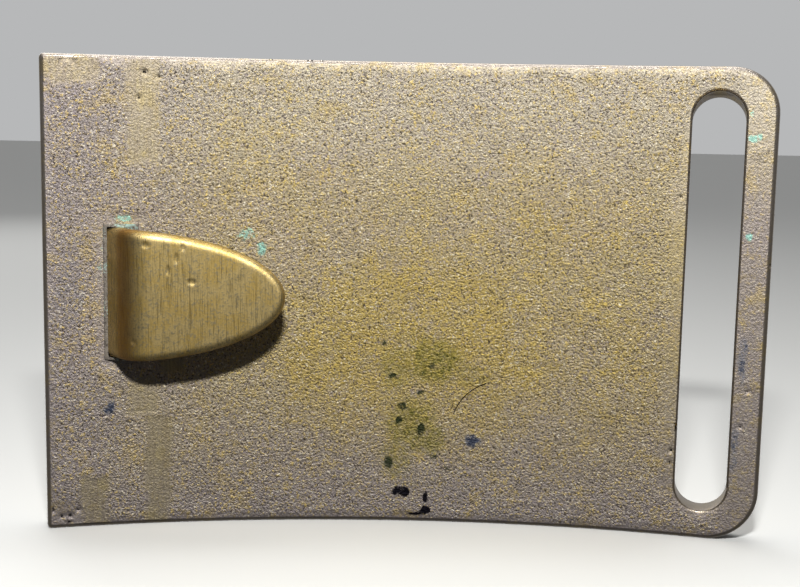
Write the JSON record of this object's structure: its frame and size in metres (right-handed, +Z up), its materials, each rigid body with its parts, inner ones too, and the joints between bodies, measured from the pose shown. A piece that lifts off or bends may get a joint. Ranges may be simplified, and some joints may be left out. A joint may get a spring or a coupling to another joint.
{
  "type": "belt buckle",
  "caption": "Bowed rectangular cast-brass belt plate with a long slot for the belt at one end and a wide soldered tongue hook on its back.",
  "frame": {"origin": "middle of the buckle's footprint, on the surface its long lower edge stands on", "axes": "+X along the belt from the hook to the slot, +Z up as worn, -Y the back, which carries the hook"},
  "size_m": [0.08, 0.0104, 0.052],
  "materials": {
    "cast_brass": "sand-cast, tarnished, with verdigris",
    "filed_brass": "filed across the strip, worn bright on its edges",
    "soft_solder": "dull grey, lightly crusted"
  },
  "bodies": {
    "root": {"belt_plate": "cast_brass", "belt_hook": "filed_brass", "hook_solder": "soft_solder"}
  },
  "joints": []
}
